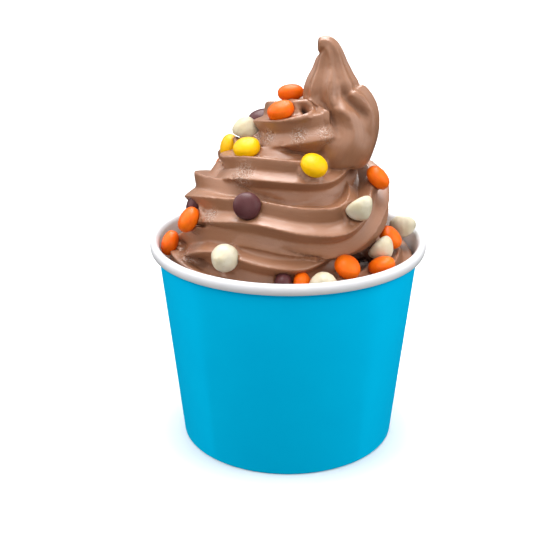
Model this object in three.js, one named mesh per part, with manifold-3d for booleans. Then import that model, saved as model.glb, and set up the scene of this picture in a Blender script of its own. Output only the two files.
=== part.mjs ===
// Frozen yogurt cup: a paper cup with a rolled rim, filled by one rope of soft frozen yogurt
// that a star nozzle piped round and round into a swirl, strewn with sugar-shelled candies
// and white baking chips. Millimetres, +Z up, origin at the middle of the cup's foot,
// with the side that is seen first towards -Y.
import * as THREE from 'three';
import { mergeVertices } from 'three/addons/utils/BufferGeometryUtils.js';
import Module from 'manifold-3d';

const wasm = await Module();
wasm.setup();

// ---------------------------------------------------------------- driving dimensions

const GAP = 0.3;                // left between pieces that touch
const ROUND_SIDES = 48;         // facets round the cup

const CUP_HEIGHT = 85.8;
const FOOT_RADIUS = 44.3;       // outside of the wall at the table
const NECK_RADIUS = 52.8;       // outside of the wall under the rim
const NECK_HEIGHT = 81.7;
const WALL = 0.6;               // paper thickness
const RIM_RADIUS = 56;          // outside of the rolled rim
const RIM_HALF_WIDTH = 1.8;
const RIM_HALF_HEIGHT = 2.5;
const RIM_FACETS = 10;
const HEM_HEIGHT = 5.2;         // wall paper folded up inside the foot
const HEM_SLOT = 1.1;           // room in that fold for the base's skirt
const BASE_RISE = 6;            // the base sits this far above the table

const LOBES = 8;                // points of the star nozzle
const FLUTE = 0.25;             // flute depth, as a share of the rope's radius
const RINGS_PER_TURN = 24;
const SEGMENT = 6;              // rings in each closed length of rope

// The rope on its way round, station by station: turns from the start (a whole turn ends at
// the front, and the rope climbs anticlockwise seen from above), the coil's radius, the
// height of the rope's middle, and the rope's radius at its crests.
const COILS = [
  { turn: 0.02, coil: 44, height: 72, rope: 7.5 },
  { turn: 0.12, coil: 42.5, height: 72.5, rope: 9.5 },
  { turn: 0.25, coil: 41.5, height: 73.5, rope: 10.5 },
  { turn: 0.5, coil: 40.5, height: 73, rope: 11.5 },
  { turn: 0.75, coil: 39.5, height: 74, rope: 12 },
  { turn: 1.0, coil: 39, height: 71, rope: 12 },
  { turn: 1.25, coil: 30, height: 66, rope: 12 },
  { turn: 1.5, coil: 30, height: 72, rope: 12 },
  { turn: 1.75, coil: 31, height: 83.5, rope: 13 },
  { turn: 1.87, coil: 32.3, height: 87.5, rope: 13.4 },
  { turn: 1.98, coil: 32, height: 85, rope: 12 },
  { turn: 2.07, coil: 23, height: 85.5, rope: 11.5 },
  { turn: 2.2, coil: 17, height: 87, rope: 12 },
  { turn: 2.35, coil: 20, height: 91, rope: 12 },
  { turn: 2.5, coil: 26, height: 95, rope: 12 },
  { turn: 2.75, coil: 27.7, height: 102.3, rope: 14 },
  { turn: 2.94, coil: 29, height: 99.5, rope: 12.8 },
  { turn: 3.07, coil: 28, height: 97.5, rope: 14 },
  { turn: 3.16, coil: 28, height: 99, rope: 14.5 },
  { turn: 3.3, coil: 27.5, height: 105, rope: 13 },
  { turn: 3.5, coil: 25, height: 108, rope: 12 },
  { turn: 3.66, coil: 23.2, height: 109.2, rope: 11.9 },
  { turn: 3.76, coil: 14.8, height: 116.5, rope: 12.3 },
  { turn: 3.84, coil: 18.8, height: 115, rope: 12.3 },
  { turn: 4.0, coil: 20.5, height: 115.2, rope: 11.5 },
  { turn: 4.1, coil: 19.8, height: 113.8, rope: 10.8 },
  { turn: 4.25, coil: 16.5, height: 115.8, rope: 10.8 },
  { turn: 4.5, coil: 12, height: 123, rope: 11.5 },
];
// Where the rope goes on from there: a last small loop, place by place.
const LOOP = [
  { at: [-3, 4, 128.5], rope: 12.2, flute: FLUTE },
  { at: [0.2, -6.5, 130.6], rope: 13, flute: FLUTE },
  { at: [9, -10.5, 130.2], rope: 12.8, flute: 0.2 },
  { at: [12, -4, 131.5], rope: 11.4, flute: 0.06 },
  { at: [10, 4, 133], rope: 9.5, flute: 0.04 },
  { at: [4.5, 7, 135], rope: 8.4, flute: 0.04 },
  { at: [0.5, 6.2, 135.1], rope: 5.5, flute: 0.04 },
];
// How far the star has turned in the rope, in degrees from outwards to upwards.
const ROLL = [
  { turn: 0.02, roll: -10 },
  { turn: 0.25, roll: 28 },
  { turn: 0.55, roll: 50 },
  { turn: 0.75, roll: 86 },
  { turn: 0.87, roll: 95 },
  { turn: 1.25, roll: 130 },
  { turn: 1.75, roll: 188 },
  { turn: 1.9, roll: 243 },
  { turn: 1.97, roll: 238 },
  { turn: 2.01, roll: 231 },
  { turn: 2.2, roll: 270 },
  { turn: 2.75, roll: 360 },
  { turn: 2.86, roll: 400 },
  { turn: 2.94, roll: 423 },
  { turn: 3.03, roll: 412 },
  { turn: 3.1, roll: 412 },
  { turn: 3.18, roll: 458 },
  { turn: 3.3, roll: 485 },
  { turn: 3.75, roll: 550 },
  { turn: 3.9, roll: 593 },
  { turn: 4.08, roll: 596 },
  { turn: 4.2, roll: 630 },
  { turn: 4.5, roll: 680 },
  { turn: 4.64, roll: 700 },
  { turn: 4.71, roll: 722 },
  { turn: 4.77, roll: 742 },
  { turn: 4.83, roll: 765 },
  { turn: 5.0, roll: 830 },
];

// The peak that was pulled up out of the last loop, from the foot of the bulb to the tip, and
// how deep its flutes are: the bulb settled smooth below.
const PEAK = [
  { at: [17.5, -9, 117.5], rope: 5, roll: -8, flute: 0.02 },
  { at: [17.2, -9.5, 119.5], rope: 10.8, roll: -8, flute: 0.02 },
  { at: [19, -8.6, 124.5], rope: 13.6, roll: -8, flute: 0.03 },
  { at: [21.4, -6, 130.5], rope: 14, roll: -8, flute: 0.1 },
  { at: [20.8, -4, 137], rope: 14, roll: -6, flute: 0.17 },
  { at: [17.1, -3, 143], rope: 11.8, roll: 3, flute: 0.17 },
  { at: [16.5, -2.5, 149], rope: 10.4, roll: 4, flute: 0.14 },
  { at: [16.3, -2.5, 155], rope: 7.2, roll: 5, flute: 0.14 },
  { at: [15.8, -3, 160.3], rope: 5.1, roll: 8, flute: 0.16 },
  { at: [14, -3, 163], rope: 3.9, roll: 8, flute: 0.1 },
  { at: [11.2, -3.3, 163.2], rope: 2.7, roll: 8, flute: 0.05 },
];

// The hidden middle that the coils lie round, as [radius, height] corners above the fill.
const CORE = [[26, 60], [25, 82], [20, 96], [14, 108], [9, 120], [0, 126]];
const FILL_HEIGHT = 67;         // the cup is full to here, under the first coil

// Toppings. A candy is a thick lens, a chip is a drop with a flat foot.
const CANDY_RADIUS = 5.2;
const CANDY_HALF_THICKNESS = 3.3;
const CANDY_FACETS = [10, 6];
const CHIP_SEAT = 3;            // a chip is placed by the point this far above its foot
const CHIP_SIDES = 10;
const CHIP_PROFILE = [[0, 0], [4.9, 0], [5.6, 1.3], [5.2, 3.2], [3.8, 5.3], [1.7, 7], [0, 8]];
// Where each one lies, and where its flat face or its tip looks: degrees round from the
// front towards +X, then degrees up.
const TOPPINGS = {
  orange_candy: [
    { at: [0.9, 5.9, 143], face: [-162, 80] },
    { at: [-3, -12.2, 139.9], face: [-63, 69] },
    { at: [34.6, -14, 114.2], face: [86, 45] },
    { at: [-38.3, -21.5, 99.4], face: [-78, 34] },
    { at: [-47.8, -4, 83.6], face: [-85, 20] },
    { at: [40.8, -9, 88.1], face: [72, 47] },
    { at: [22.5, -34.7, 85.1], face: [47, 52] },
    { at: [36.1, -28.2, 83.3], face: [-112, 73] },
    { at: [5.5, -40, 79.5], face: [77, 12] },
    { at: [22.9, 32.6, 108.7], face: [146, 49] },
    { at: [-29.8, 25.1, 87.5], face: [-82, 73] },
    { at: [-25.7, 24.2, 109.7], face: [-139, 40] },
  ],
  yellow_candy: [
    { at: [-23.6, 3, 121.8], face: [-75, 13] },
    { at: [-15.9, -15.4, 126.3], face: [-36, 69] },
    { at: [9.6, -28.1, 122.9], face: [37, 56] },
    { at: [8.4, 33.9, 116.5], face: [-155, 70] },
    { at: [-5.1, 23, 126], face: [-148, 62] },
  ],
  brown_candy: [
    { at: [-10.9, 7.5, 132.4], face: [-60, 75] },
    { at: [-15.3, -34, 108.9], face: [2, 30] },
    { at: [-36.5, -12, 101.9], face: [-80, 18] },
    { at: [-1.6, -41.5, 80], face: [79, 7] },
    { at: [3.4, 39, 92.2], face: [-179, 65] },
    { at: [18, 12.9, 129.2], face: [124, 49] },
  ],
  white_chip: [
    { at: [-16.7, -1, 130.4], face: [85, 83] },
    { at: [-24, -38.8, 90], face: [-22, 12] },
    { at: [27, -30.5, 107], face: [49, -46] },
    { at: [47, 3.8, 88.3], face: [1, -39] },
    { at: [36.6, -19, 86.9], face: [60, -38] },
    { at: [13.2, -44.6, 82.1], face: [-3, 57] },
    { at: [-13.5, 34.7, 109.5], face: [114, 70] },
    { at: [35.4, 21.8, 86], face: [113, 65] },
  ],
};

// ---------------------------------------------------------------- solids and meshes

const FRONT = new THREE.Vector3(0, -1, 0);
const UP = new THREE.Vector3(0, 0, 1);
const radians = THREE.MathUtils.degToRad;

/** A three.js geometry as a manifold-3d solid. */
function solidOf(geometry) {
  const bare = geometry.clone();
  bare.deleteAttribute('normal');
  bare.deleteAttribute('uv');
  const merged = mergeVertices(bare, 1e-4);
  return new wasm.Manifold(new wasm.Mesh({
    numProp: 3,
    vertProperties: merged.attributes.position.array,
    triVerts: new Uint32Array(merged.index.array),
  }));
}

/** A manifold-3d solid as a three.js geometry. */
function geometryOf(solid) {
  const { vertProperties, triVerts } = solid.getMesh();
  const geometry = new THREE.BufferGeometry();
  geometry.setAttribute('position', new THREE.BufferAttribute(vertProperties, 3));
  geometry.setIndex(new THREE.BufferAttribute(triVerts, 1));
  return geometry;
}

/** A body turned round the cup's axis, from [radius, height] corners given from the foot up. */
function turned(corners, sides = ROUND_SIDES) {
  const profile = corners.map(([radius, height]) => new THREE.Vector2(radius, height));
  return new THREE.LatheGeometry(profile, sides).rotateX(Math.PI / 2);
}

const group = new THREE.Group();

function addPiece(name, geometry, color, roughness) {
  const material = new THREE.MeshStandardMaterial({ color, roughness, metalness: 0 });
  const mesh = new THREE.Mesh(geometry, material);
  mesh.name = name;
  group.add(mesh);
}

// ---------------------------------------------------------------- paper cup

const TAPER = (NECK_RADIUS - FOOT_RADIUS) / NECK_HEIGHT;

/** Outside radius of the cup's wall at a height. */
const outside = (height) => FOOT_RADIUS + TAPER * height;

/** Inside radius of the cup's wall at a height. */
const inside = (height) => outside(height) - WALL;

/** Both faces of the paper that is folded up inside the foot. */
const hemOutside = (height) => inside(height) - HEM_SLOT;
const hemInside = (height) => hemOutside(height) - WALL;

const rim = [];
const rimRadius = RIM_RADIUS - RIM_HALF_WIDTH;
const rimHeight = CUP_HEIGHT - RIM_HALF_HEIGHT;
for (let i = 0; i <= RIM_FACETS; i++) {
  const angle = radians(-125 + 290 * i / RIM_FACETS);
  rim.push([rimRadius + Math.cos(angle) * RIM_HALF_WIDTH, rimHeight + Math.sin(angle) * RIM_HALF_HEIGHT]);
}
const wallProfile = [
  [hemInside(0), 0],
  [FOOT_RADIUS - 0.2, 0],
  [outside(0.4), 0.4],
  [NECK_RADIUS, NECK_HEIGHT],
  ...rim,
  [inside(NECK_HEIGHT), NECK_HEIGHT],
  [inside(WALL), WALL],
  [hemOutside(WALL), WALL],
  [hemOutside(HEM_HEIGHT), HEM_HEIGHT],
  [hemInside(HEM_HEIGHT), HEM_HEIGHT],
  [hemInside(0), 0],
];
addPiece('cup_wall', turned(wallProfile), '#00a3d6', 0.5);

const baseProfile = [
  [0, BASE_RISE],
  [hemOutside(BASE_RISE) + GAP, BASE_RISE],
  [hemOutside(WALL) + GAP, WALL + GAP],
  [inside(WALL) - GAP, WALL + GAP],
  [inside(BASE_RISE + WALL) - GAP, BASE_RISE + WALL],
  [0, BASE_RISE + WALL],
];
addPiece('cup_base', turned(baseProfile), '#f1efe9', 0.6);

// ---------------------------------------------------------------- the rope of yogurt

/** A smooth curve through values at uneven knots. */
function through(knots, values, at) {
  const last = knots.length - 1;
  const past = knots.findIndex((knot) => knot > at);
  const i = past < 0 ? last - 1 : Math.max(past - 1, 0);
  const slope = (j) => {
    const before = Math.max(j - 1, 0);
    const after = Math.min(j + 1, last);
    return (values[after] - values[before]) / (knots[after] - knots[before]);
  };
  const span = knots[i + 1] - knots[i];
  const u = (at - knots[i]) / span;
  const start = values[i] * (1 + 2 * u) + slope(i) * span * u;
  const end = values[i + 1] * (3 - 2 * u) - slope(i + 1) * span * (1 - u);
  return start * (1 - u) ** 2 + end * u ** 2;
}

/** One key of a table as a smooth curve over the table's turns. */
const overTurns = (table, key, turn) => through(table.map((s) => s.turn), table.map((s) => s[key]), turn);

/** One reading of a table as a smooth curve over its rows. */
const overRows = (table, read, row) => through(table.map((s, i) => i), table.map(read), row);

/** A place on the cup's round: turns from the front, radius, height. */
function onRound(turn, radius, height) {
  const angle = turn * 2 * Math.PI;
  return new THREE.Vector3(Math.sin(angle) * radius, -Math.cos(angle) * radius, height);
}

/** Middle, radius and roll of the rope, ring by ring, through the coils and the last loop. */
function ropeRings() {
  const first = COILS[0].turn;
  const end = COILS[COILS.length - 1];
  const count = Math.round((end.turn - first) * RINGS_PER_TURN);
  const rings = [];
  for (let i = 0; i < count; i++) {
    const turn = first + (end.turn - first) * i / count;
    const coil = overTurns(COILS, 'coil', turn);
    const height = overTurns(COILS, 'height', turn);
    rings.push({
      at: onRound(turn, coil, height),
      rope: overTurns(COILS, 'rope', turn),
      roll: overTurns(ROLL, 'roll', turn),
      flute: FLUTE,
    });
  }
  const joint = onRound(end.turn, end.coil, end.height).toArray();
  const loop = [{ at: joint, rope: end.rope, flute: FLUTE }, ...LOOP];
  const steps = 20;
  for (let i = 0; i <= steps; i++) {
    const row = (loop.length - 1) * i / steps;
    rings.push({
      at: new THREE.Vector3(...[0, 1, 2].map((axis) => overRows(loop, (s) => s.at[axis], row))),
      rope: overRows(loop, (s) => s.rope, row),
      roll: overTurns(ROLL, 'roll', end.turn + 0.5 * i / steps),
      flute: overRows(loop, (s) => s.flute, row),
    });
  }
  return rings;
}

/** Middle, radius and roll of the peak, ring by ring. */
function peakRings() {
  const steps = 26;
  const rings = [];
  for (let i = 0; i <= steps; i++) {
    const row = (PEAK.length - 1) * i / steps;
    rings.push({
      at: new THREE.Vector3(...[0, 1, 2].map((axis) => overRows(PEAK, (s) => s.at[axis], row))),
      rope: overRows(PEAK, (s) => s.rope, row),
      roll: overRows(PEAK, (s) => s.roll, row),
      flute: overRows(PEAK, (s) => s.flute, row),
    });
  }
  return rings;
}

/** Points of each ring: a star square to the rope's way, its roll counted from one side. */
function stars(rings, sideOf) {
  return rings.map((ring, i) => {
    const before = rings[Math.max(i - 1, 0)].at;
    const after = rings[Math.min(i + 1, rings.length - 1)].at;
    const way = after.clone().sub(before).normalize();
    const side = sideOf(way).normalize();
    const over = side.clone().cross(way);
    const points = [];
    for (let k = 0; k < LOBES * 2; k++) {
      const angle = radians(ring.roll + k * 180 / LOBES);
      const radius = ring.rope * (k % 2 ? 1 - ring.flute : 1);
      const point = ring.at.clone();
      point.addScaledVector(side, Math.cos(angle) * radius);
      point.addScaledVector(over, Math.sin(angle) * radius);
      points.push(point);
    }
    return points;
  });
}

/** A closed tube through rings of points. */
function tube(rings) {
  const sides = rings[0].length;
  const middle = (ring) => ring.reduce((sum, p) => sum.add(p), new THREE.Vector3()).divideScalar(sides);
  const points = [...rings.flat(), middle(rings[0]), middle(rings[rings.length - 1])];
  const faces = [];
  for (let i = 0; i + 1 < rings.length; i++) {
    for (let k = 0; k < sides; k++) {
      const a = i * sides + k;
      const b = i * sides + (k + 1) % sides;
      faces.push(a, a + sides, b, b, a + sides, b + sides);
    }
  }
  const last = (rings.length - 1) * sides;
  for (let k = 0; k < sides; k++) {
    faces.push((k + 1) % sides, points.length - 2, k);
    faces.push(last + k, points.length - 1, last + (k + 1) % sides);
  }
  const geometry = new THREE.BufferGeometry().setFromPoints(points);
  geometry.setIndex(faces);
  return geometry;
}

const sideways = (way) => way.clone().cross(UP);
const frontways = (way) => FRONT.clone().addScaledVector(way, -way.dot(FRONT));

let yogurt = solidOf(tube(stars(peakRings(), frontways)));
const lengths = stars(ropeRings(), sideways);
for (let i = 0; i + 1 < lengths.length; i += SEGMENT) {
  yogurt = yogurt.add(solidOf(tube(lengths.slice(i, i + SEGMENT + 1))));
}
yogurt = yogurt.add(solidOf(turned([[0, CORE[0][1]], ...CORE], 24)));

const floor = BASE_RISE + WALL + GAP;
const room = [
  [0, floor],
  [inside(floor) - GAP, floor],
  [inside(CUP_HEIGHT) - GAP, CUP_HEIGHT],
];
const cavity = solidOf(turned([...room, [inside(CUP_HEIGHT) - GAP, 200], [0, 200]]));
const fill = solidOf(turned([room[0], room[1], [inside(FILL_HEIGHT) - GAP, FILL_HEIGHT], [0, FILL_HEIGHT]]));
yogurt = yogurt.intersect(cavity).add(fill);

// ---------------------------------------------------------------- toppings

/** A topping with its flat face or its tip up, fatter all over by a margin. */
function toppingShape(kind, margin) {
  if (kind === 'white_chip') {
    const corners = CHIP_PROFILE.map(([radius, height]) => {
      const wider = radius && radius + margin;
      const end = height === 0 ? -margin : margin;
      return [wider, height - CHIP_SEAT + (radius < 2 || height === 0 ? end : 0)];
    });
    return turned(corners, CHIP_SIDES);
  }
  const lens = new THREE.SphereGeometry(1, ...CANDY_FACETS).rotateX(Math.PI / 2);
  const across = CANDY_RADIUS + margin;
  return lens.scale(across, across, CANDY_HALF_THICKNESS + margin);
}

/** The same where it lies. */
function toppingAt(kind, { at, face }, margin) {
  const [round, up] = face.map(radians);
  const axis = onRound(round / (2 * Math.PI), Math.cos(up), Math.sin(up));
  const geometry = toppingShape(kind, margin);
  geometry.applyQuaternion(new THREE.Quaternion().setFromUnitVectors(UP, axis));
  return geometry.translate(...at);
}

const COLORS = {
  orange_candy: '#f4690f',
  yellow_candy: '#f5cf0a',
  brown_candy: '#4f2a2a',
  white_chip: '#e9e2c6',
};

const pieces = [];
for (const [kind, rows] of Object.entries(TOPPINGS)) {
  rows.forEach((row, i) => {
    const name = `${kind}_${String(i + 1).padStart(2, '0')}`;
    pieces.push({ name, kind, geometry: toppingAt(kind, row, 0) });
    yogurt = yogurt.subtract(solidOf(toppingAt(kind, row, GAP)));
  });
}
yogurt = yogurt.decompose().sort((a, b) => b.volume() - a.volume())[0];

addPiece('frozen_yogurt', geometryOf(yogurt), '#a5785f', 0.45);
for (const { name, kind, geometry } of pieces) {
  addPiece(name, geometry, COLORS[kind], kind === 'white_chip' ? 0.45 : 0.25);
}

export default group;
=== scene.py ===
"""A frozen yogurt cup: paper cup, piped chocolate swirl, candies and chips, dressed round its frame.

The frame is metres, +Z up, with the middle of the cup's foot at the origin and the front
towards -Y. Sizes below are millimetres, and MM turns them into metres.
"""
import math
import random

import bpy
import numpy as np
from mathutils import Matrix, Vector, kdtree, noise

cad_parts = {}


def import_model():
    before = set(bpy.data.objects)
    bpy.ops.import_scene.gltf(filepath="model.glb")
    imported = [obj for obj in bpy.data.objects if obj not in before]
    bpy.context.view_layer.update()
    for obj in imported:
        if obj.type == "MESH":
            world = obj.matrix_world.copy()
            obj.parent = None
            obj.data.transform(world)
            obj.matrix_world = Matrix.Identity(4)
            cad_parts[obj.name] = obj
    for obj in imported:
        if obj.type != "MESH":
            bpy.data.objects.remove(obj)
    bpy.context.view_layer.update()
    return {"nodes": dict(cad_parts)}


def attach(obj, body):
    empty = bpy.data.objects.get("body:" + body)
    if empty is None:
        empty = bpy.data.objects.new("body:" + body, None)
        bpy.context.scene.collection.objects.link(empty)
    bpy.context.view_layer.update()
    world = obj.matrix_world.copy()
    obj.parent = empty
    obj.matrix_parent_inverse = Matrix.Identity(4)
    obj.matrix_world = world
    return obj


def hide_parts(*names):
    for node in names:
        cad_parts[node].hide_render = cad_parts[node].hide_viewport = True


MM = 0.001

# ---------------------------------------------------------------- the paper cup

ROUND = 192                 # edges round the cup
CUP_HEIGHT = 85.8
FOOT_RADIUS = 44.3          # outside of the wall at the table
NECK_RADIUS = 52.8          # outside of the wall under the rim
NECK_HEIGHT = 81.7
WALL = 0.6                  # paper thickness
RIM_RADIUS = 56             # outside of the rolled rim
RIM_HALF_WIDTH = 1.8
RIM_HALF_HEIGHT = 2.5
HEM_HEIGHT = 5.2            # wall paper folded up inside the foot
HEM_SLOT = 1.1              # room in that fold for the base's skirt
HEM_BEND = 0.8              # height of the bend that the cup stands on
BASE_RISE = 6               # the base sits this far above the table
BASE_MIDDLE = 8             # radius of the face in the base's middle
SEAM_WIDTH = 7              # the wall's paper overlaps itself at the back
SEAM_EDGE = 0.15            # its edge steps up within this width
SEAM_STEP = 0.25
SHARP = 35                  # degrees past which an edge of the cup stays sharp
GAP = 0.3                   # left between pieces that touch
TAPER = (NECK_RADIUS - FOOT_RADIUS) / NECK_HEIGHT

# ---------------------------------------------------------------- the rope of yogurt

LOBES = 8                   # points of the star nozzle
FLUTE = 0.28                # flute depth, as a share of the rope's radius
RINGS_PER_TURN = 150
LOOP_RINGS = 120
LOOP_TURN = 0.5             # turns that the roll runs on for through the loop
PEAK_RINGS = 150
ROPE_POINTS = 96            # points round the rope
STREAK_STRETCH = 0.04       # how fast streaks change along the rope, against across it
PEAK_START = 2000           # the peak's streaks start this far along, apart from the coils'
VOXEL = 0.5                 # grain of the surface that the ropes melt into
FILL_HEIGHT = 67            # the cup is full to here, under the first coil
FILL_CUT = 60               # below this the fill is plain
MOST_TRIANGLES = 190000
SWELL_WIDTH = 9             # broad unevenness of the whole surface
SWELL_HEIGHT = 0.22
TEAR_GRAIN = 1.3            # width of the lumps where the surface tore

# Station by station: turns from the start (a whole turn ends at the front, and the rope
# climbs anticlockwise seen from above), the coil's radius, the height of the rope's middle,
# and the rope's radius at its crests.
COILS = [
    (0.02, 44, 72, 7.5),
    (0.12, 42.5, 72.5, 9.5),
    (0.25, 41.5, 73.5, 10.5),
    (0.5, 40.5, 73, 11.5),
    (0.75, 39.5, 74, 12),
    (1.0, 39, 71, 12),
    (1.25, 30, 66, 12),
    (1.5, 30, 72, 12),
    (1.75, 31, 83.5, 13),
    (1.87, 32.3, 87.5, 13.4),
    (1.98, 32, 85, 12),
    (2.07, 23, 85.5, 11.5),
    (2.2, 17, 87, 12),
    (2.35, 20, 91, 12),
    (2.5, 26, 95, 12),
    (2.75, 27.7, 102.3, 14),
    (2.94, 29, 99.5, 12.8),
    (3.07, 28, 97.5, 14),
    (3.16, 28, 99, 14.5),
    (3.3, 27.5, 105, 13),
    (3.5, 25, 108, 12),
    (3.66, 23.2, 109.2, 11.9),
    (3.76, 14.8, 116.5, 12.3),
    (3.84, 18.8, 115, 12.3),
    (4.0, 20.5, 115.2, 11.5),
    (4.1, 19.8, 113.8, 10.8),
    (4.25, 16.5, 115.8, 10.8),
    (4.5, 12, 123, 11.5),
]
# The last small loop, place by place: x, y, z, the rope's radius, and how deep its flutes
# are: they fade where the nozzle slowed down.
LOOP = [
    (-3, 4, 128.5, 12.2, 0.28),
    (0.2, -6.5, 130.6, 13, 0.28),
    (9, -10.5, 130.2, 12.8, 0.2),
    (12, -4, 131.5, 11.4, 0.06),
    (10, 4, 133, 9.5, 0.04),
    (4.5, 7, 135, 8.4, 0.04),
    (0.5, 6.2, 135.1, 5.5, 0.04),
]
# Turns, and how far the star has rolled in the rope, in degrees from outwards to upwards.
ROLL = [
    (0.02, -10),
    (0.25, 28),
    (0.55, 50),
    (0.75, 86),
    (0.87, 95),
    (1.25, 130),
    (1.75, 188),
    (1.9, 243),
    (1.97, 238),
    (2.01, 231),
    (2.2, 270),
    (2.75, 360),
    (2.86, 400),
    (2.94, 423),
    (3.03, 412),
    (3.1, 412),
    (3.18, 458),
    (3.3, 485),
    (3.75, 550),
    (3.9, 593),
    (4.08, 596),
    (4.2, 630),
    (4.5, 680),
    (4.64, 700),
    (4.71, 722),
    (4.77, 742),
    (4.83, 765),
    (5.0, 830),
]
# The peak, from the foot of its bulb to the tip: x, y, z, the rope's radius, its roll, and
# how deep its flutes are. The bulb is smooth below, where it settled.
PEAK = [
    (17.5, -9, 117.5, 5, -8, 0.02),
    (17.2, -9.5, 119.5, 10.8, -8, 0.02),
    (19, -8.6, 124.5, 13.6, -8, 0.03),
    (21.4, -6, 130.5, 14, -8, 0.1),
    (20.8, -4, 137, 14, -6, 0.17),
    (17.1, -3, 143, 11.8, 3, 0.17),
    (16.5, -2.5, 149, 10.4, 4, 0.14),
    (16.3, -2.5, 155, 7.2, 5, 0.14),
    (15.8, -3, 160.3, 5.1, 8, 0.16),
    (14, -3, 163, 3.9, 8, 0.1),
    (11.2, -3.3, 163.2, 2.7, 8, 0.05),
]
# The hidden middle that the coils lie round, as radius and height.
CORE = [(26, 60), (25, 82), (20, 96), (14, 108), (9, 120), (0.5, 126)]

# Where the rope dragged and tore as it was laid, so that it is rough and wet, with pale glints painted
# into its colour: x, y, z, how far the roughness reaches, and how deep it is.
TEARS = [
    (-17.5, -24, 118, 7.5, 0.8),
    (-29.6, -26.9, 102.6, 5, 0.6),
    (-34.5, -19, 100, 4.5, 0.6),
    (-38.4, -19, 83.1, 6, 0.6),
    (-7, -12.7, 129.8, 5, 0.6),
    (4.3, -19.7, 131.5, 5, 0.3),
    (13, -19, 132, 5, 0.3),
    (-10.3, -6.5, 128.2, 4, 0.5),
]

# Edges drawn up and folds pressed in where the rope bent, lapped or was cut off: how far each
# stands out (or goes in, below 0), its width, and the places it runs through. The folds are also
# darkened with painted shade.
CREASES = [
    # where the last loop laps the coil under it
    (-1.6, 2.2, [
        (-2, -18.5, 127),
        (1.4, -18, 125.4),
        (5.9, -17.4, 124.5),
        (10.5, -18, 124.6),
        (14.2, -19.8, 126.3),
    ]),
    # under the peak's bulb
    (-1.5, 1.2, [
        (13, -20, 120),
        (15.1, -18.6, 119.3),
        (18.9, -18, 119.1),
        (22.7, -17.6, 119.4),
        (25, -17, 120.3),
    ]),
    # between the upper coils
    (-1.6, 1.5, [
        (-21.5, -21.5, 115.6),
        (-16.1, -21.3, 112.6),
        (-12.2, -24.2, 111),
        (-7.6, -26.4, 109.9),
        (-2, -28.4, 108.9),
    ]),
    # between the lower coils
    (-1.6, 1.2, [(-2.5, -38.5, 93.6), (4.5, -37.4, 91.3), (10.1, -36.5, 89.7), (14, -34, 88.6)]),
    # the ridge that hooks round the pit in the curl
    (1.3, 1.5, [
        (-1, -18.7, 137.7),
        (4.3, -19.3, 138.4),
        (7.3, -18.6, 139.2),
        (9.2, -15.5, 140),
        (8.8, -12.6, 141.4),
        (6.4, -11.6, 142.8),
        (2, -11.2, 143),
    ]),
    # that pit
    (-3, 1.9, [(4.8, -13, 141.6), (6, -14, 140.6), (7, -14.8, 140)]),
    # the curl's outer crest
    (1.1, 1.7, [
        (18, -19.8, 130.8),
        (16.8, -18.5, 133.4),
        (14.8, -17.4, 137.2),
        (13, -14.4, 140.2),
        (10.5, -11.2, 142),
        (7.4, -8, 143),
        (4.4, -3.7, 142),
    ]),
    # down the peak, from its left to its right: an edge, a groove, and an edge
    (0.9, 1.6, [
        (15.9, -9.8, 155),
        (15.8, -11.5, 150),
        (15.6, -13.1, 146),
        (16.8, -13.3, 140.4),
        (18.6, -16.5, 135),
    ]),
    (-1.0, 2.8, [
        (14, -12, 144),
        (14.6, -11.5, 141),
        (16.2, -15, 137),
        (17.4, -18.5, 134.5),
        (18.4, -20, 131),
    ]),
    (0.8, 3.6, [(18.5, -8.6, 151), (18.7, -10, 147), (19.7, -15.3, 141.7), (21.5, -17.8, 136.9)]),
    # over the peak's right shoulder: an edge with a groove beside it
    (0.8, 2.4, [
        (18.6, -7.4, 157.4),
        (21.3, -9.9, 149.6),
        (23.1, -11.5, 146.5),
        (26.9, -12.7, 143),
        (30.8, -13.1, 139.2),
        (31.6, -14.6, 133.1),
    ]),
    (-1.1, 3.6, [
        (19.4, -9.5, 149.1),
        (21.4, -10.2, 144.9),
        (24, -11.5, 141.9),
        (27.1, -12.3, 139.6),
        (30.2, -13.7, 136.5),
    ]),
    # the hollow between two coils, on the peak's side
    (-6, 7, [(25.9, 3, 73), (28.5, 3, 75.2), (33, 4, 77)]),
    (-3, 5, [(31.4, -9.4, 77.7), (33, -2, 77.5), (34, 6, 76.8)]),
    # pleats at the left ends of two coils
    (1.2, 1.5, [(-35.5, -16, 101), (-36.1, -18, 99.7), (-36.2, -22.8, 96.4), (-35, -25, 94)]),
    (1, 1.3, [(-33.3, -17, 105), (-33.2, -19.2, 103.8), (-32.5, -24, 101.7)]),
    # along the lowest coil, at the left
    (-1.4, 2, [(-36, -21, 82), (-34.1, -24.2, 82.6), (-28.1, -32.6, 83.7), (-24, -36, 83)]),
]
CREASE_DEPTH = 3            # a crease reaches this far off its line, in or out
CREASE_STEPS = 12           # places along a crease for each one in the table
FOLD_FULL_SHADE = 2.4             # a fold this deep is fully darkened with painted shade

# ---------------------------------------------------------------- toppings

CANDY_RADIUS = 5.2
CANDY_HALF_THICKNESS = 3.3
CANDY_FULLNESS = 0.045      # share by which it stands out past a plain lens
CANDY_LUMPS = 0.35          # depth of its unevenness
CHIP_PROFILE = [
    (2.6, 0),
    (4.4, 0.1),
    (5.4, 0.9),
    (5.6, 2.1),
    (5.15, 3.6),
    (4.05, 5.3),
    (2.4, 6.8),
    (0.9, 7.7),
]
CHIP_LUMPS = 0.8
CHIP_BALL = (5.5, 5.5, 4.6) # half sizes of the ball that a chip's seat is cut with
CHIP_BALL_HEIGHT = 3.2      # its middle, above the chip's foot
LUMP_SIZE = 5
SEAT = 0.18                 # room left round a topping in its seat
SEAT_RISE = 3               # yogurt this far below a topping rises to it
SEAT_FACING = 0.25          # cosine past which a surface faces away from the topping
SEAT_REACH = 1.7            # a seat ends within this share of the topping's half width

# ---------------------------------------------------------------- colours

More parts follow.
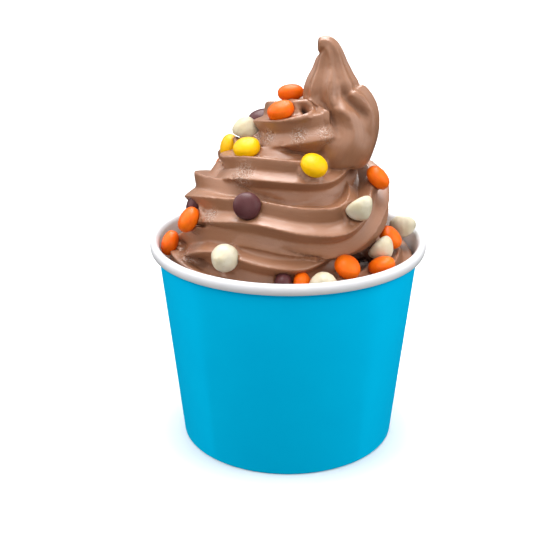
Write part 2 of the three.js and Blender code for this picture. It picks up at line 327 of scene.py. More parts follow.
# Paper: its colour, and the shade it is faintly clouded with.
WHITE_PAPER = ((0.71, 0.71, 0.73), (0.67, 0.67, 0.69))
BLUE_PAPER = ((0.0, 0.57, 0.97), (0.0, 0.59, 0.985))
# Sugar shells: the colour, a lighter cloud in it, and dark pin pricks.
SHELLS = {
    "orange_candy": ((0.84, 0.115, 0.002), (0.88, 0.165, 0.004), (0.58, 0.055, 0.0)),
    "yellow_candy": ((0.86, 0.44, 0.0), (0.9, 0.51, 0.0), (0.72, 0.34, 0.0)),
    "brown_candy": ((0.075, 0.022, 0.024), (0.1, 0.034, 0.036), (0.03, 0.01, 0.01)),
}

# ---------------------------------------------------------------- camera

CAMERA_AT = (-0.405, -415.9, 229.77)
CAMERA_PITCH = 21.48        # degrees down
CAMERA_YAW = -0.39
CAMERA_ROLL = 0.07
CAMERA_LENS = 69.32         # on a 36 mm wide sensor

# ---------------------------------------------------------------- light

ROOM_LIGHT = 0.26
ROOM_BELOW = (0.3, 0.3, 0.3)    # the room's walls are this much darker below
# Each soft light's name, degrees round from the front towards +X, degrees up, strength, how
# wide it is, and whether it lights surfaces and shows in their gloss.
SUNS = [
    ("overhead", 180, 84, 3.4, 40, True, True),
    ("front_fill", 0, 12, 1.5, 80, True, False),
    ("sheen", 0, 40, 0.9, 60, False, True),
    ("sheen_behind", 180, 58, 4.5, 50, False, True),
    ("sheen_left", -110, 40, 2.4, 70, False, True),
    ("from_right", 82, 25, 1.9, 60, True, True),
    ("from_left", -85, 25, 1.7, 60, True, False),
]


# ================================================================ ways of working

def put_away():
    """Leaves edit mode, with nothing selected."""
    if bpy.context.object and bpy.context.object.mode != "OBJECT":
        bpy.ops.object.mode_set(mode="OBJECT")
    bpy.ops.object.select_all(action="DESELECT")


def pick(piece):
    """Makes one object the selected and active one."""
    put_away()
    piece.select_set(True)
    bpy.context.view_layer.objects.active = piece


def modify(piece, kind, **settings):
    """Adds a modifier with these settings and applies it."""
    pick(piece)
    bpy.ops.object.modifier_add(type=kind)
    modifier = piece.modifiers[-1]
    for name, value in settings.items():
        setattr(modifier, name, value)
    bpy.ops.object.modifier_apply(modifier=modifier.name)


def pull_rings(name, corners, sides=ROUND, closed=False):
    """A round body: a ring of edges pulled on from corner to corner of a (radius, height) outline."""
    put_away()
    bpy.ops.mesh.primitive_circle_add(vertices=sides, radius=corners[0][0] * MM)
    piece = bpy.context.object
    piece.name = name
    bpy.ops.object.mode_set(mode="EDIT")
    bpy.ops.mesh.select_mode(type="VERT")
    bpy.ops.mesh.select_all(action="SELECT")
    bpy.ops.transform.translate(value=(0, 0, corners[0][1] * MM))
    for (radius, height), (wider, higher) in zip(corners, corners[1:]):
        rise = (0, 0, (higher - height) * MM)
        bpy.ops.mesh.extrude_edges_move(TRANSFORM_OT_translate={"value": rise})
        growth = wider / radius
        bpy.ops.transform.resize(value=(growth, growth, 1), center_override=(0, 0, higher * MM))
    bpy.ops.mesh.select_all(action="SELECT")
    if closed:
        bpy.ops.mesh.remove_doubles(threshold=1e-6)
    else:
        bpy.ops.mesh.fill_holes(sides=0)
    bpy.ops.mesh.normals_make_consistent(inside=False)
    bpy.ops.object.mode_set(mode="OBJECT")
    return piece


def select_faces(piece, wanted):
    """Enters edit mode with the faces selected for which wanted(centre, normal) is true."""
    pick(piece)
    bpy.ops.object.mode_set(mode="EDIT")
    bpy.ops.mesh.select_mode(type="FACE")
    bpy.ops.mesh.select_all(action="DESELECT")
    bpy.ops.object.mode_set(mode="OBJECT")
    for face in piece.data.polygons:
        face.select = wanted(face.center / MM, face.normal)
    bpy.ops.object.mode_set(mode="EDIT")


def give(piece, material, wanted=None):
    """Puts a material on a whole piece, or on the faces for which wanted is true."""
    piece.data.materials.append(material)
    if wanted:
        select_faces(piece, wanted)
        piece.active_material_index = len(piece.data.materials) - 1
        bpy.ops.object.material_slot_assign()
        bpy.ops.object.mode_set(mode="OBJECT")


def points_of(piece):
    """A piece's points as an array, in metres."""
    found = np.zeros(len(piece.data.vertices) * 3, np.float32)
    piece.data.vertices.foreach_get("co", found)
    return found.reshape(-1, 3).astype(float)


def normals_of(piece):
    """The normals at a piece's points."""
    found = np.zeros(len(piece.data.vertices) * 3, np.float32)
    piece.data.vertices.foreach_get("normal", found)
    return found.reshape(-1, 3).astype(float)


def set_points(piece, points):
    """Moves a piece's points to these places, in metres."""
    piece.data.vertices.foreach_set("co", points.astype(np.float32).ravel())
    piece.data.update()


# ================================================================ materials

def material(name, color, roughness, specular=0.5):
    """A new material with its shader, and the nodes' tree to build on."""
    made = bpy.data.materials.new(name)
    made.use_nodes = True
    shader = made.node_tree.nodes["Principled BSDF"]
    shader.inputs["Base Color"].default_value = (*color, 1)
    shader.inputs["Roughness"].default_value = roughness
    shader.inputs["Specular IOR Level"].default_value = specular
    return made, shader


def node(tree, kind, links=(), **settings):
    """A node with its settings; links are (input, where it comes from) pairs."""
    made = tree.nodes.new(kind)
    for name, value in settings.items():
        if name in made.inputs:
            made.inputs[name].default_value = value
        else:
            setattr(made, name, value)
    for name, source in links:
        tree.links.new(source, made.inputs[name])
    return made


def object_place(tree):
    """Places in the piece's own coordinates, in metres."""
    return node(tree, "ShaderNodeTexCoord").outputs["Object"]


def cloud(tree, place, scale, detail=3, roughness=0.5):
    """Soft noise over a place, from about 0.2 to 0.8. The scale is features per metre."""
    made = node(tree, "ShaderNodeTexNoise", [("Vector", place)])
    made.inputs["Scale"].default_value = scale
    made.inputs["Detail"].default_value = detail
    made.inputs["Roughness"].default_value = roughness
    return made.outputs["Fac"]


def spread(tree, source, low, high, start=0.3, end=0.7):
    """A value that goes from low to high as the source goes from start to end."""
    made = node(tree, "ShaderNodeMapRange", [("Value", source)])
    made.inputs["From Min"].default_value = start
    made.inputs["From Max"].default_value = end
    made.inputs["To Min"].default_value = low
    made.inputs["To Max"].default_value = high
    return made.outputs["Result"]


def blend_colors(tree, source, one, other):
    """A colour between two, by the source."""
    made = node(tree, "ShaderNodeMix", data_type="RGBA")
    tree.links.new(source, made.inputs["Factor"])
    for socket, color in ((6, one), (7, other)):
        if isinstance(color, tuple):
            made.inputs[socket].default_value = (*color, 1)
        else:
            tree.links.new(color, made.inputs[socket])
    return made.outputs[2]


def combine(tree, operation, one, other):
    """Two values added, subtracted or multiplied."""
    made = node(tree, "ShaderNodeMath", [(0, one), (1, other)], operation=operation)
    return made.outputs[0]


def bump(tree, height, depth, under=None):
    """A bump of this depth in millimetres, on top of the one under it."""
    links = [("Height", height)] + ([("Normal", under)] if under else [])
    made = node(tree, "ShaderNodeBump", links)
    made.inputs["Strength"].default_value = 1
    made.inputs["Distance"].default_value = depth * MM
    return made.outputs["Normal"]


def paper(name, color, shade, roughness, specular):
    """Coated paper board: faint clouding, and the fine pits and fibres of board under its coat."""
    made, shader = material(name, color, roughness, specular)
    tree = made.node_tree
    place = object_place(tree)
    tone = blend_colors(tree, spread(tree, cloud(tree, place, 55, 4), 0, 1), color, shade)
    tree.links.new(tone, shader.inputs["Base Color"])
    worn = spread(tree, cloud(tree, place, 240, 3), roughness - 0.05, roughness + 0.06)
    tree.links.new(worn, shader.inputs["Roughness"])
    fibres = bump(tree, cloud(tree, place, 1500, 2), 0.012)
    waves = bump(tree, cloud(tree, place, 60, 2), 0.12, fibres)
    tree.links.new(waves, shader.inputs["Normal"])
    return made


def chocolate_yogurt():
    """Soft frozen yogurt: smooth, faintly streaked along the rope, darkened in its folds with painted
    shade, and wet where it tore, with pale specks painted in there as glints."""
    flesh = (0.305, 0.137, 0.069)
    pale = (0.355, 0.171, 0.095)
    deep = (0.225, 0.092, 0.042)
    # painted glint: the pale colour of the specks on the torn places
    painted_glint = (0.74, 0.6, 0.52)
    # painted shade: the colour that the deepest folds are darkened to
    fold = (0.06, 0.022, 0.009)
    made, shader = material("chocolate_yogurt", flesh, 0.4, 0.5)
    tree = made.node_tree
    place = object_place(tree)
    piped = node(tree, "ShaderNodeAttribute", attribute_name="piped").outputs["Vector"]
    torn = node(tree, "ShaderNodeAttribute", attribute_name="torn").outputs["Fac"]
    folded = node(tree, "ShaderNodeAttribute", attribute_name="folded").outputs["Fac"]

    clouds = spread(tree, cloud(tree, place, 70, 4), 0, 0.5)
    tone = blend_colors(tree, clouds, flesh, pale)
    streaks = spread(tree, cloud(tree, piped, 900, 2), 0, 0.22, 0.42, 0.7)
    tone = blend_colors(tree, streaks, tone, deep)
    # pale specks painted in as glints on the torn places
    glint_specks = spread(tree, cloud(tree, place, 1700, 2), 0, 0.65, 0.48, 0.64)
    tone = blend_colors(tree, combine(tree, "MULTIPLY", glint_specks, torn), tone, painted_glint)
    # painted shade, darkest in the deepest folds
    tone = blend_colors(tree, spread(tree, folded, 0, 1, 0.2, 0.9), tone, fold)
    tree.links.new(tone, shader.inputs["Base Color"])

    dull = spread(tree, cloud(tree, place, 260, 3), 0.33, 0.46)
    dull = combine(tree, "SUBTRACT", dull, spread(tree, torn, 0, 0.26, 0, 0.8))
    dull = combine(tree, "ADD", dull, spread(tree, folded, 0, 0.5, 0.1, 0.5))
    tree.links.new(dull, shader.inputs["Roughness"])

    grain = bump(tree, cloud(tree, place, 1800, 2), 0.02)
    lines = bump(tree, cloud(tree, piped, 1300, 2), 0.06, grain)
    crumbs = combine(tree, "MULTIPLY", cloud(tree, place, 1100, 3, 0.65), torn)
    ragged = bump(tree, crumbs, 0.8, lines)
    tree.links.new(ragged, shader.inputs["Normal"])
    shader.inputs["Subsurface Weight"].default_value = 0.12
    shader.inputs["Subsurface Radius"].default_value = (1.0, 0.5, 0.3)
    shader.inputs["Subsurface Scale"].default_value = 2 * MM
    shader.inputs["Coat Weight"].default_value = 0.1
    shader.inputs["Coat Roughness"].default_value = 0.25
    return made


def sugar_shell(name, color, lit, dark):
    """A candy's polished sugar shell, uneven in tone, with pin pricks and faint orange peel."""
    made, shader = material(name, color, 0.4, 0.12)
    tree = made.node_tree
    place = object_place(tree)
    tone = blend_colors(tree, spread(tree, cloud(tree, place, 170, 2), 0, 1), color, lit)
    specks = spread(tree, cloud(tree, place, 1500, 2, 0.7), 0, 0.5, 0.6, 0.74)
    tone = blend_colors(tree, specks, tone, dark)
    tree.links.new(tone, shader.inputs["Base Color"])
    polish = spread(tree, cloud(tree, place, 500, 2), 0.34, 0.46)
    tree.links.new(polish, shader.inputs["Roughness"])
    peel = bump(tree, cloud(tree, place, 700, 2), 0.03)
    tree.links.new(peel, shader.inputs["Normal"])
    shader.inputs["Coat Weight"].default_value = 0.06
    shader.inputs["Coat Roughness"].default_value = 0.2
    return made


def white_baking_chip():
    """A waxy white chip, creamier in its body, with a faint bloom and scuffs."""
    cream = (0.62, 0.54, 0.36)
    pale = (0.69, 0.65, 0.53)
    scuffed = (0.53, 0.45, 0.27)
    made, shader = material("white_chip", cream, 0.4, 0.25)
    tree = made.node_tree
    place = object_place(tree)
    tone = blend_colors(tree, spread(tree, cloud(tree, place, 120, 3), 0, 1), cream, pale)
    scuffs = spread(tree, cloud(tree, place, 800, 3, 0.65), 0, 0.45, 0.58, 0.75)
    tone = blend_colors(tree, scuffs, tone, scuffed)
    tree.links.new(tone, shader.inputs["Base Color"])
    wax = spread(tree, cloud(tree, place, 400, 2), 0.33, 0.48)
    tree.links.new(wax, shader.inputs["Roughness"])
    dents = bump(tree, cloud(tree, place, 420, 3), 0.08)
    tree.links.new(dents, shader.inputs["Normal"])
    shader.inputs["Subsurface Weight"].default_value = 0.25
    shader.inputs["Subsurface Radius"].default_value = (1.0, 0.8, 0.5)
    shader.inputs["Subsurface Scale"].default_value = 1.5 * MM
    return made


# ================================================================ the paper cup

def outside(height):
    """Outside radius of the cup's wall at a height."""
    return FOOT_RADIUS + TAPER * height


def inside(height):
    """Inside radius of the cup's wall at a height."""
    return outside(height) - WALL


def hem_outside(height):
    """Outside radius of the paper that is folded up inside the foot."""
    return inside(height) - HEM_SLOT


def arc(radius, height, half_width, half_height, start, turn, steps):
    """Corners on an elliptic arc; angles are degrees from outwards to upwards."""
    angles = [math.radians(start + turn * i / steps) for i in range(steps + 1)]
    return [(radius + math.cos(a) * half_width, height + math.sin(a) * half_height) for a in angles]


def paper_cup():
    """The wall with its rolled rim and its hem folded up inside the foot, one sheet of board."""
    fold = (inside(0) - hem_outside(0)) / 2 + WALL
    fold_middle = outside(0) - fold
    rim_middle = RIM_RADIUS - RIM_HALF_WIDTH
    rim_height = CUP_HEIGHT - RIM_HALF_HEIGHT
    corners = [
        (hem_outside(HEM_BEND) - WALL, HEM_BEND),
        *arc(fold_middle, HEM_BEND, fold, HEM_BEND, -165, 150, 8),
        (outside(HEM_BEND), HEM_BEND),
        (NECK_RADIUS, NECK_HEIGHT - 0.4),
        (NECK_RADIUS + 0.1, NECK_HEIGHT),
        *arc(rim_middle, rim_height, RIM_HALF_WIDTH, RIM_HALF_HEIGHT, -125, 290, 30),
        (inside(NECK_HEIGHT), NECK_HEIGHT),
        (inside(WALL), WALL),
        (hem_outside(WALL), WALL),
        (hem_outside(HEM_HEIGHT), HEM_HEIGHT),
        (hem_outside(HEM_HEIGHT) - WALL, HEM_HEIGHT),
        (hem_outside(HEM_BEND) - WALL, HEM_BEND),
    ]
    wall = pull_rings("paper_cup_wall", corners, closed=True)
    lap_the_seam(wall)
    give(wall, paper("white_paper", *WHITE_PAPER, roughness=0.42, specular=0.3))

    def printed(centre, normal):
        away, height = centre.xy.length, centre.z
        out_of_wall = away > outside(height) - WALL / 2 and height < NECK_HEIGHT
        in_hem = away < hem_outside(height) - WALL / 2 and height < HEM_HEIGHT - 0.1
        under_foot = height < WALL - 0.1
        return out_of_wall or in_hem or under_foot

    give(wall, paper("blue_paper", *BLUE_PAPER, roughness=0.6, specular=0.01), printed)
    pick(wall)
    bpy.ops.object.shade_smooth_by_angle(angle=math.radians(SHARP))
    return wall


def lap_the_seam(wall):
    """The sheet's one end lies over the other at the back, from the foot to under the rim."""
    def at_the_back(centre, normal):
        return centre.y > 0 and normal.y > 0.5 and centre.z < NECK_HEIGHT

    for side in (0, SEAM_EDGE, SEAM_WIDTH):
        select_faces(wall, at_the_back)
        bpy.ops.mesh.bisect(plane_co=(side * MM, 0, 0), plane_no=(1, 0, 0))
        bpy.ops.object.mode_set(mode="OBJECT")
    points = points_of(wall)
    x, y, z = (points / MM).T
    over = (y > 0) & (np.hypot(x, y) > outside(z) - 0.05) & (z < NECK_HEIGHT) & (z > 0.5)
    lap = over & (x > 0.1) & (x < SEAM_WIDTH)
    step = SEAM_STEP * (1 - x / SEAM_WIDTH) ** 0.5
    points[lap, 1] += step[lap] * MM
    set_points(wall, points)


def paper_base():
    """The round of board that closes the cup, with its skirt down in the hem's fold."""
    corners = [
        (BASE_MIDDLE, BASE_RISE),
        (hem_outside(BASE_RISE) - WALL, BASE_RISE),
        (hem_outside(BASE_RISE) + GAP, BASE_RISE - 0.5),
        (hem_outside(WALL) + GAP, WALL + GAP),
        (inside(WALL) - GAP, WALL + GAP),
        (inside(BASE_RISE) - GAP, BASE_RISE - 0.3),
        (inside(BASE_RISE) - GAP - WALL, BASE_RISE + WALL),
        (BASE_MIDDLE, BASE_RISE + WALL),
    ]
    base = pull_rings("paper_cup_base", corners)
    give(base, bpy.data.materials["white_paper"])
    pick(base)
    bpy.ops.object.shade_smooth_by_angle(angle=math.radians(SHARP))
    return base


# ================================================================ the yogurt

def through(knots, values, at):
    """Rows of values as smooth curves over uneven knots, read at many places."""
    knots, values = np.asarray(knots, float), np.asarray(values, float)
    last = len(knots) - 1
    before = np.maximum(np.arange(last + 1) - 1, 0)
    after = np.minimum(np.arange(last + 1) + 1, last)
    slope = (values[after] - values[before]) / (knots[after] - knots[before])[:, None]
    i = np.clip(np.searchsorted(knots, at, side="right") - 1, 0, last - 1)
    span = (knots[i + 1] - knots[i])[:, None]
    u = (at - knots[i])[:, None] / span
    start = values[i] * (1 + 2 * u) + slope[i] * span * u
    end = values[i + 1] * (3 - 2 * u) - slope[i + 1] * span * (1 - u)
    return start * (1 - u) ** 2 + end * u ** 2


def rolls(turns):
    """The star's roll in degrees at many places, given in turns."""
    table = np.array(ROLL)
    return through(table[:, 0], table[:, 1:], turns)[:, 0]


def rope_line():
    """Middle, radius, roll and flute depth of the rope, ring by ring, through the coils and the
    last loop."""
    table = np.array(COILS, float)
    first, end = table[0, 0], table[-1]
    count = round((end[0] - first) * RINGS_PER_TURN)
    turns = first + (end[0] - first) * np.arange(count) / count
    coil, height, rope = through(table[:, 0], table[:, 1:], turns).T
    angle = turns * 2 * np.pi
    middle = np.stack([np.sin(angle) * coil, -np.cos(angle) * coil, height], 1)
    last = end[0] * 2 * np.pi
    coils_end = (math.sin(last) * end[1], -math.cos(last) * end[1], end[2], end[3], FLUTE)
    rows = [coils_end, *LOOP]
    at = np.linspace(0, len(rows) - 1, LOOP_RINGS + 1)
    loop = through(np.arange(len(rows)), rows, at)
    turn_on = end[0] + LOOP_TURN * np.arange(LOOP_RINGS + 1) / LOOP_RINGS
    middle = np.concatenate([middle, loop[:, :3]])
    rope = np.concatenate([rope, loop[:, 3]])
    roll = np.concatenate([rolls(turns), rolls(turn_on)])
    flute = np.concatenate([np.full(count, FLUTE), loop[:, 4]])
    return middle, rope, roll, flute


def peak_line():
    """Middle, radius, roll and flute depth of the peak, ring by ring."""
    at = np.linspace(0, len(PEAK) - 1, PEAK_RINGS + 1)
    rows = through(np.arange(len(PEAK)), PEAK, at)
    return rows[:, :3], rows[:, 3], rows[:, 4], rows[:, 5]


def unit(vectors):
    """The same vectors, each 1 long."""
    return vectors / np.linalg.norm(vectors, axis=1)[:, None]


def pipe(name, middle, rope, roll, flute, sideways, start):
    """A star-shaped rope along a line, closed at both ends. Returns the piece, its points and,
    for the streaks, how far along the rope each point is and where it lies in the section."""
    first, last = middle[1:2] - middle[:1], middle[-1:] - middle[-2:-1]
    way = unit(np.concatenate([first, middle[2:] - middle[:-2], last]))
    side = unit(sideways(way))
    over = np.cross(side, way)
    count = len(middle)
    steps = np.linalg.norm(np.diff(middle, axis=0), axis=1)
    along = start + np.concatenate([[0], np.cumsum(steps)])
    turn = np.arange(ROPE_POINTS) * 2 * np.pi / ROPE_POINTS
    round_flute = np.abs(np.sin(turn * LOBES / 2))
    straight_flute = np.arcsin(round_flute) / (np.pi / 2)
    star = 1 - flute[:, None] * (round_flute + straight_flute) / 2
    angle = turn[None, :] + np.radians(roll)[:, None]
    radius = rope[:, None] * star
    points = (
        middle[:, None]
        + side[:, None] * (np.cos(angle) * radius)[..., None]
        + over[:, None] * (np.sin(angle) * radius)[..., None]
    )
    section = np.stack([
        np.repeat(along[:, None] * STREAK_STRETCH, ROPE_POINTS, 1),
        np.cos(turn)[None, :] * rope[:, None],
        np.sin(turn)[None, :] * rope[:, None],
    ], 2)
    ring = np.arange(ROPE_POINTS)
    following = (ring + 1) % ROPE_POINTS
    faces = [
        (i * ROPE_POINTS + a, (i + 1) * ROPE_POINTS + a, (i + 1) * ROPE_POINTS + b, i * ROPE_POINTS + b)
        for i in range(count - 1)
        for a, b in zip(ring.tolist(), following.tolist())
    ]
    faces.append(tuple(ring.tolist()))
    faces.append(tuple(((count - 1) * ROPE_POINTS + ring[::-1]).tolist()))
    mesh = bpy.data.meshes.new(name)
    mesh.from_pydata((points.reshape(-1, 3) * MM).tolist(), [], faces)
    mesh.update()
    piece = bpy.data.objects.new(name, mesh)
    bpy.context.scene.collection.objects.link(piece)
    pick(piece)
    bpy.ops.object.mode_set(mode="EDIT")
    bpy.ops.mesh.select_all(action="SELECT")
    bpy.ops.mesh.normals_make_consistent(inside=False)
    bpy.ops.object.mode_set(mode="OBJECT")
    return piece, points.reshape(-1, 3) * MM, section.reshape(-1, 3) * MM


def melt_together(pieces):
    """Joins pieces and takes one skin round them all."""
    put_away()
    for piece in pieces:
        piece.select_set(True)
    bpy.context.view_layer.objects.active = pieces[0]
    bpy.ops.object.join()
    whole = pieces[0]
    modify(whole, "REMESH", mode="VOXEL", voxel_size=VOXEL * MM, adaptivity=0)
    modify(whole, "SMOOTH", factor=0.5, iterations=2)
    return whole


def press_to_wall(points):
    """Keeps the yogurt inside the cup's wall, flattened where it meets it."""
    radius = np.hypot(points[:, 0], points[:, 1])
    height = np.minimum(points[:, 2] / MM, CUP_HEIGHT)
    room = (inside(height) - GAP) * MM
    points[:, :2] *= np.minimum(1, room / np.maximum(radius, 1e-9))[:, None]
    return points


def crease(points, normals):
    """Draws up the edges and presses in the folds, each fading out towards its ends. Returns the
    moved points and how deep in a fold each one is, for the painted shade that darkens the folds."""
    folded = np.zeros(len(points))
    for height, width, places in CREASES:
        at = np.linspace(0, len(places) - 1, CREASE_STEPS * len(places))
        line = through(np.arange(len(places)), places, at) * MM
        taper = np.sqrt(np.minimum(1, 4 * np.minimum(at, at[-1] - at) / at[-1] + 0.05))
        middle = line.mean(0)
        reach = np.linalg.norm(line - middle, axis=1).max() + (width + CREASE_DEPTH) * MM
        near = np.flatnonzero(np.linalg.norm(points - middle, axis=1) < reach)
        apart = points[near, None] - line[None]
        outward = np.einsum("ijk,ik->ij", apart, normals[near])
        level = np.abs(outward) < CREASE_DEPTH * MM
        aside = (apart ** 2).sum(2) - 0.9 * level * outward ** 2
        away = np.sqrt(np.maximum(0, aside)) / (width * MM)
        nearest = away.argmin(1)
        fade = np.maximum(0, 1 - away[np.arange(len(near)), nearest] ** 2) ** 2 * taper[nearest]
        points[near] += normals[near] * (fade * height * MM)[:, None]
        if height < 0:
            folded[near] = np.maximum(folded[near], fade * min(1, -height / FOLD_FULL_SHADE))
    return points, folded


def tear(points, normals):
    """Roughens the torn places. Returns the moved points and how torn each one is."""
    torn = np.zeros(len(points))
    for x, y, z, reach, depth in TEARS:
        away = np.linalg.norm(points / MM - (x, y, z), axis=1) / reach
        near = np.flatnonzero(away < 1)
        fade = (1 - away[near] ** 2) ** 2
        places = [Vector(p) / (TEAR_GRAIN * MM) for p in points[near]]
        rough = np.array([noise.fractal(place, 0.6, 2.1, 3) for place in places])
        points[near] += normals[near] * (rough * fade * depth * MM)[:, None]
        torn[near] = np.maximum(torn[near], fade)
    return points, torn


def waver(points, normals):
    """The slight unevenness of a soft thing, in broad swells."""
    swell = np.array([noise.noise(Vector(p) / (SWELL_WIDTH * MM)) for p in points])
    return points + normals * (swell * SWELL_HEIGHT * MM)[:, None]


def pull_fill_down(whole):
    """Cuts the lumpy fill off level inside the cup, and pulls a plain one down to the base."""
    pick(whole)
    bpy.ops.object.mode_set(mode="EDIT")
    bpy.ops.mesh.select_all(action="SELECT")
    bpy.ops.mesh.bisect(
        plane_co=(0, 0, FILL_CUT * MM), plane_no=(0, 0, 1), use_fill=False, clear_inner=True
    )
    floor = BASE_RISE + WALL + GAP
    drop = (0, 0, (floor - FILL_CUT) * MM)
    bpy.ops.mesh.extrude_edges_move(TRANSFORM_OT_translate={"value": drop})
    narrower = (inside(floor) - GAP) / (inside(FILL_CUT) - GAP)
    bpy.ops.transform.resize(value=(narrower, narrower, 1), center_override=(0, 0, floor * MM))
    bpy.ops.mesh.edge_face_add()
    bpy.ops.mesh.select_all(action="SELECT")
    bpy.ops.mesh.normals_make_consistent(inside=False)
    bpy.ops.object.mode_set(mode="OBJECT")


def frozen_yogurt(toppings):
    """The whole filling: coils, last loop, peak and fill as one body."""
    def coil_side(way):
        return np.cross(way, (0, 0, 1.0))

    def peak_side(way):
        front = np.array((0, -1.0, 0))
        return front - way * (way @ front)[:, None]

    rope, rope_points, rope_section = pipe("frozen_yogurt_swirl", *rope_line(), coil_side, 0)
    peak, peak_points, peak_section = pipe("peak", *peak_line(), peak_side, PEAK_START)
    core = pull_rings("core", CORE, 48)
    fill_foot = FILL_CUT - 5
    fill = pull_rings("fill", [
        (inside(fill_foot) - GAP, fill_foot),
        (inside(FILL_HEIGHT) - GAP, FILL_HEIGHT),
    ])
    whole = melt_together([rope, peak, core, fill])
    whole.name = "frozen_yogurt_swirl"
    pull_fill_down(whole)

    triangles = sum(len(face.vertices) - 2 for face in whole.data.polygons)
    if triangles > MOST_TRIANGLES:
        modify(whole, "DECIMATE", ratio=MOST_TRIANGLES / triangles)

    points = waver(points_of(whole), normals_of(whole))
    points, folded = crease(points, normals_of(whole))
    set_points(whole, points)
    points, torn = tear(points, normals_of(whole))
    for topping in toppings:
        points = make_seat(points, normals_of(whole), topping)
    above = points[:, 2] > FILL_CUT * MM + 1e-5
    points[above] = press_to_wall(points[above])
    set_points(whole, points)

    section = np.concatenate([rope_section, peak_section])
    follow_the_rope(whole, np.concatenate([rope_points, peak_points]), section)
    for name, amount in (("torn", torn), ("folded", folded)):
        mark = whole.data.attributes.new(name, "FLOAT", "POINT")
        mark.data.foreach_set("value", amount.astype(np.float32))
    give(whole, chocolate_yogurt())
    pick(whole)
    bpy.ops.object.shade_smooth()
    return whole


def follow_the_rope(piece, rope_points, section):
    """Gives each point its place on the rope it belongs to, for streaks that run with it."""
    tree = kdtree.KDTree(len(rope_points))
    for i, place in enumerate(rope_points):
        tree.insert(place, i)
    tree.balance()
    nearest = [tree.find(place)[1] for place in points_of(piece)]
    mark = piece.data.attributes.new("piped", "FLOAT_VECTOR", "POINT")
    mark.data.foreach_set("vector", section[nearest].astype(np.float32).ravel())


def make_seat(points, normals, topping):
    """Fits the yogurt to a topping: pressed in where the topping sinks in, and risen to meet it
    where it would hang just clear."""
    centre, turn, half = topping["centre"], topping["turn"], topping["half"]
    near = np.flatnonzero(np.linalg.norm(points - centre, axis=1) < SEAT_REACH * half.max())
    close = near[np.linalg.norm(points[near] - centre, axis=1) < 1.3 * half.max()]
    if len(close) < 8:
        return points
    inward = -normals[close].mean(0)
    inward /= np.linalg.norm(inward)
    near = near[normals[near] @ inward < SEAT_FACING]
    local = (points[near] - centre) @ turn / half
    push = inward @ turn / half
    a = push @ push
    b = (local * push).sum(1)
    c = (local ** 2).sum(1) - 1
    crosses = b ** 2 - a * c
    reach = np.sqrt(np.maximum(crosses, 0))
    far_side = (-b + reach) / a
    sunk = c < 0
    clear = ~sunk & (crosses > 0) & (far_side < 0) & (far_side > -SEAT_RISE * MM)
    points[near[sunk]] += far_side[sunk, None] * inward
    under = 1 - (1 - np.clip(crosses[clear] / a, 0, 1)) ** 3
    points[near[clear]] += (far_side[clear] * under)[:, None] * inward
    return points


# ================================================================ toppings

def unique_points(cad_node):
    """A node's corners without repeats, in metres."""
    return np.unique(np.round([tuple(v.co) for v in cad_node.data.vertices], 7), axis=0)


def turn_to(axis, spin):
    """A rotation whose third column is the axis."""
    spun = Matrix.Rotation(spin, 3, "Z")
    lean = Vector((0, 0, 1)).rotation_difference(Vector(axis)).to_matrix()
    return np.array(lean @ spun)


def find_candy(cad_node, spin):
    """Where a candy's node lies: its middle, and its thin way as the third axis."""
    corners = unique_points(cad_node)
    middle = (corners.max(0) + corners.min(0)) / 2
    spreads, ways = np.linalg.eigh(np.cov((corners - middle).T))
    room = SEAT * MM
    half = np.array((CANDY_RADIUS, CANDY_RADIUS, CANDY_HALF_THICKNESS)) * MM + room
    return {"centre": middle, "turn": turn_to(ways[:, 0], spin), "half": half, "foot": middle}


def find_chip(cad_node, spin):
    """Where a chip's node lies: its flat foot is its largest face, and its tip looks away."""
    mesh = cad_node.data
    areas = {}
    for face in mesh.polygons:
        key = tuple(round(c, 2) for c in face.normal)
        areas[key] = areas.get(key, 0) + face.area
    down = Vector(max(areas, key=areas.get)).normalized()
    flat = [face for face in mesh.polygons if face.normal.dot(down) > 0.999]
    whole = sum(face.area for face in flat)
    foot = sum((face.center * face.area for face in flat), Vector()) / whole
    axis = np.array(-down)
    room = SEAT * MM
    half = np.array(CHIP_BALL) * MM + room
    middle = np.array(foot) + axis * CHIP_BALL_HEIGHT * MM
    return {"centre": middle, "turn": turn_to(axis, spin), "half": half, "foot": np.array(foot)}


def candy_shape():
    """One candy at the origin: a thick lens, full at its edge."""
    put_away()
    bpy.ops.mesh.primitive_uv_sphere_add(segments=40, ring_count=20, radius=CANDY_RADIUS * MM)
    candy = bpy.context.object
    bpy.ops.object.mode_set(mode="EDIT")
    bpy.ops.mesh.select_all(action="SELECT")
    flat = CANDY_HALF_THICKNESS / CANDY_RADIUS
    bpy.ops.transform.resize(value=(1, 1, flat), center_override=(0, 0, 0))
    bpy.ops.object.mode_set(mode="OBJECT")
    points = points_of(candy)
    rise = np.clip(np.abs(points[:, 2]) / (CANDY_HALF_THICKNESS * MM), 0, 1)
    fuller = 1 + CANDY_FULLNESS * np.sin(2 * np.arccos(rise))
    set_points(candy, points * fuller[:, None])
    return candy


def chip_shape():
    """One chip at the origin, foot down: a dropped blob with a soft edge and a blunt nib."""
    chip = pull_rings("chip", CHIP_PROFILE, 20)
    select_faces(chip, lambda centre, normal: abs(normal.z) > 0.99)
    bpy.ops.mesh.inset(thickness=0.5 * MM)
    bpy.ops.object.mode_set(mode="OBJECT")
    modify(chip, "SUBSURF", levels=2, render_levels=2)
    return chip


def lumps(name, size):
    """Soft lumps for a Displace modifier."""
    made = bpy.data.textures.new(name, "CLOUDS")
    made.noise_scale = size * MM
    return made


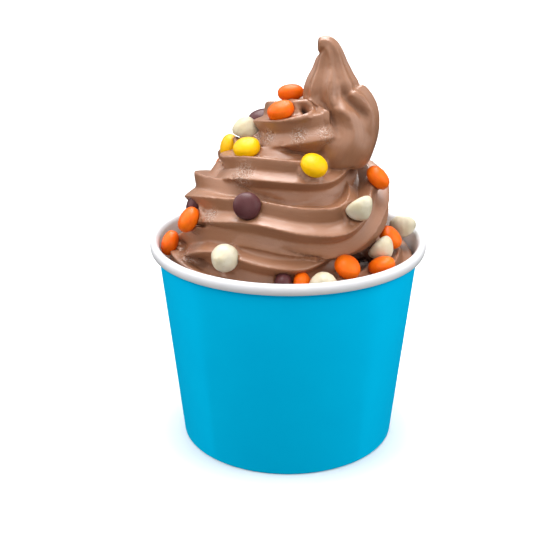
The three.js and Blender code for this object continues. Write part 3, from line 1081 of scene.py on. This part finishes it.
def place_toppings(shape, look, places, lumpiness):
    """Copies of one shape, each in its node's place, a little uneven, each with its own mesh."""
    for cad_name in sorted(places):
        found = places[cad_name]
        piece = bpy.data.objects.new(cad_name + "_piece", shape.data.copy())
        bpy.context.scene.collection.objects.link(piece)
        where = Matrix(found["turn"].tolist()).to_4x4()
        where.translation = Vector(found["foot"])
        piece.data.transform(where)
        uneven = lumps(cad_name, LUMP_SIZE)
        modify(piece, "DISPLACE", texture=uneven, strength=lumpiness * MM, mid_level=0.5)
        give(piece, look)
        pick(piece)
        bpy.ops.object.shade_smooth()
        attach(piece, "root")
        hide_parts(cad_name)


# ================================================================ studio

def sun(name, round_from_front, up, energy, width, lights, shines):
    """Soft light from far away: degrees round from the front towards +X, then degrees up."""
    put_away()
    around, rise = math.radians(round_from_front), math.radians(up)
    out = math.cos(rise)
    come_from = Vector((math.sin(around) * out, -math.cos(around) * out, math.sin(rise)))
    turned = come_from.to_track_quat("Z", "Y").to_euler()
    bpy.ops.object.light_add(type="SUN", location=come_from, rotation=turned)
    light = bpy.context.object
    light.name = name
    light.data.energy = energy
    light.data.angle = math.radians(width)
    light.visible_diffuse = lights
    light.visible_glossy = shines


def studio():
    """A pale floor in a white room that is darker below, and the soft lights."""
    put_away()
    bpy.ops.mesh.primitive_plane_add(size=8)
    floor = bpy.context.object
    floor.name = "floor"
    floor.data.materials.append(material("floor", (0.95, 0.95, 0.95), 0.9, 0.1)[0])
    floor.visible_diffuse = False
    floor.visible_glossy = False

    world = bpy.data.worlds.new("white_room")
    world.use_nodes = True
    tree = world.node_tree
    height = node(tree, "ShaderNodeSeparateXYZ", [(0, object_place(tree))]).outputs["Z"]
    light = blend_colors(tree, spread(tree, height, 0, 1, -0.3, 0.3), ROOM_BELOW, (1, 1, 1))
    tree.links.new(light, tree.nodes["Background"].inputs["Color"])
    tree.nodes["Background"].inputs["Strength"].default_value = ROOM_LIGHT
    bpy.context.scene.world = world
    bpy.context.scene.view_settings.view_transform = "Standard"

    for row in SUNS:
        sun(*row)


def camera():
    """The camera that the cup is first seen through, and the scene's own."""
    data = bpy.data.cameras.new("camera")
    data.lens = CAMERA_LENS
    data.sensor_width = 36
    data.clip_start, data.clip_end = 0.01, 20
    made = bpy.data.objects.new("camera", data)
    bpy.context.scene.collection.objects.link(made)
    pitch, yaw, roll = (math.radians(a) for a in (CAMERA_PITCH, CAMERA_YAW, CAMERA_ROLL))
    out = math.cos(pitch)
    forward = Vector((math.sin(yaw) * out, math.cos(yaw) * out, -math.sin(pitch)))
    right = Vector((math.cos(yaw), -math.sin(yaw), 0))
    up = right.cross(forward)
    turned = Matrix.Rotation(-roll, 3, forward) @ Matrix((right, up, -forward)).transposed()
    made.location = Vector(CAMERA_AT) * MM
    made.rotation_euler = turned.to_euler()
    bpy.context.scene.camera = made


# ================================================================ the whole

def main():
    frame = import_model()
    camera()
    studio()

    random.seed(7)
    candies, chips = {}, {}
    for name in sorted(frame["nodes"]):
        spin = random.uniform(0, 2 * math.pi)
        if "candy" in name:
            candies[name] = find_candy(frame["nodes"][name], spin)
        elif "chip" in name:
            chips[name] = find_chip(frame["nodes"][name], spin)

    wall, base = paper_cup(), paper_base()
    yogurt = frozen_yogurt([*candies.values(), *chips.values()])
    for piece, cad_name, slot in (
        (wall, "cup_wall", "blue_paper"),
        (base, "cup_base", "white_paper"),
        (yogurt, "frozen_yogurt", "chocolate_yogurt"),
    ):
        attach(piece, "root")
        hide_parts(cad_name)

    lens = candy_shape()
    for kind, tones in SHELLS.items():
        places = {name: found for name, found in candies.items() if name.startswith(kind)}
        place_toppings(lens, sugar_shell(kind, *tones), places, CANDY_LUMPS)
    drop = chip_shape()
    place_toppings(drop, white_baking_chip(), chips, CHIP_LUMPS)
    for pattern in (lens, drop):
        bpy.data.objects.remove(pattern)


main()
